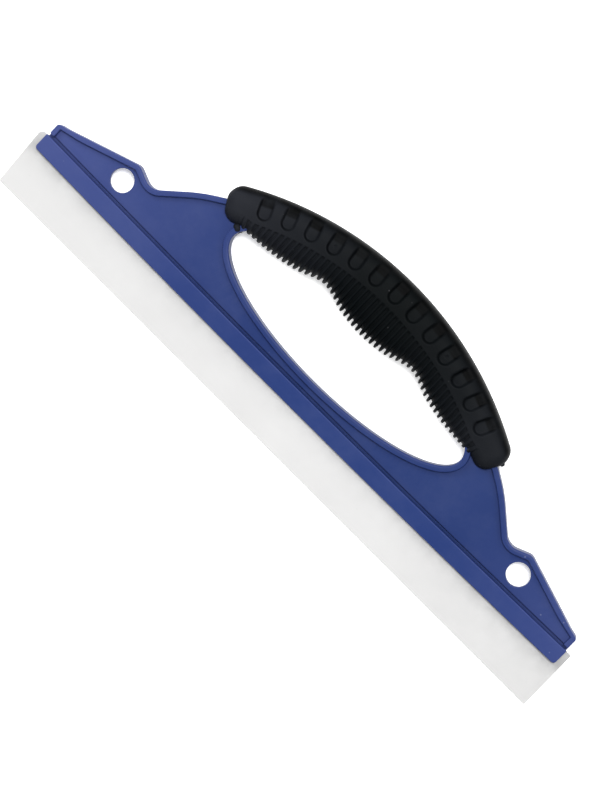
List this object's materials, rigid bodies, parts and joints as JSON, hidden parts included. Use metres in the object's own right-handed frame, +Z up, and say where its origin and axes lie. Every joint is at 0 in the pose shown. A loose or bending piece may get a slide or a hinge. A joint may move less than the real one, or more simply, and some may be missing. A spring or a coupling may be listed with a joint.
{
  "type": "squeegee applicator",
  "caption": "Flat hand squeegee with a soft silicone blade clamped along a blue plastic frame, an arched ribbed rubber grip over a hand opening, and hanging holes at its ends.",
  "frame": {"origin": "on the surface that the tool lies on, under the middle of its bounding box", "axes": "+X along the blade; +Y from the blade's free edge to the grip, along the surface; +Z up, on the front face's side. The tool leans on its grip: its own plane is turned 7.4 degrees about +X, grip side up."},
  "size_m": [0.3119, 0.091, 0.0222],
  "materials": {
    "blue_plastic": "fine-grained blue moulded plastic, softly shiny on the rims",
    "silicone": "milky white silicone rubber, smooth and slightly see-through at the edge",
    "black_rubber": "satin black thermoplastic rubber",
    "plated_steel": "bright zinc plate"
  },
  "bodies": {
    "tool": {"frame": "blue_plastic", "clamp_strip": "blue_plastic", "blade_root": "silicone", "grip": "black_rubber", "screw_1": "plated_steel", "screw_2": "plated_steel", "screw_3": "plated_steel", "screw_4": "plated_steel", "screw_5": "plated_steel", "screw_6": "plated_steel", "screw_7": "plated_steel"},
    "lip": {"blade_lip": "silicone"}
  },
  "joints": [
    {"name": "blade_flex", "type": "hinge", "parent": "tool", "child": "lip", "pos_m": [0, -0.02776, 0.00396], "axis": [1, 0, 0], "range_deg": [-40, 40], "stiffness_Nm_per_rad": 0.3}
  ]
}
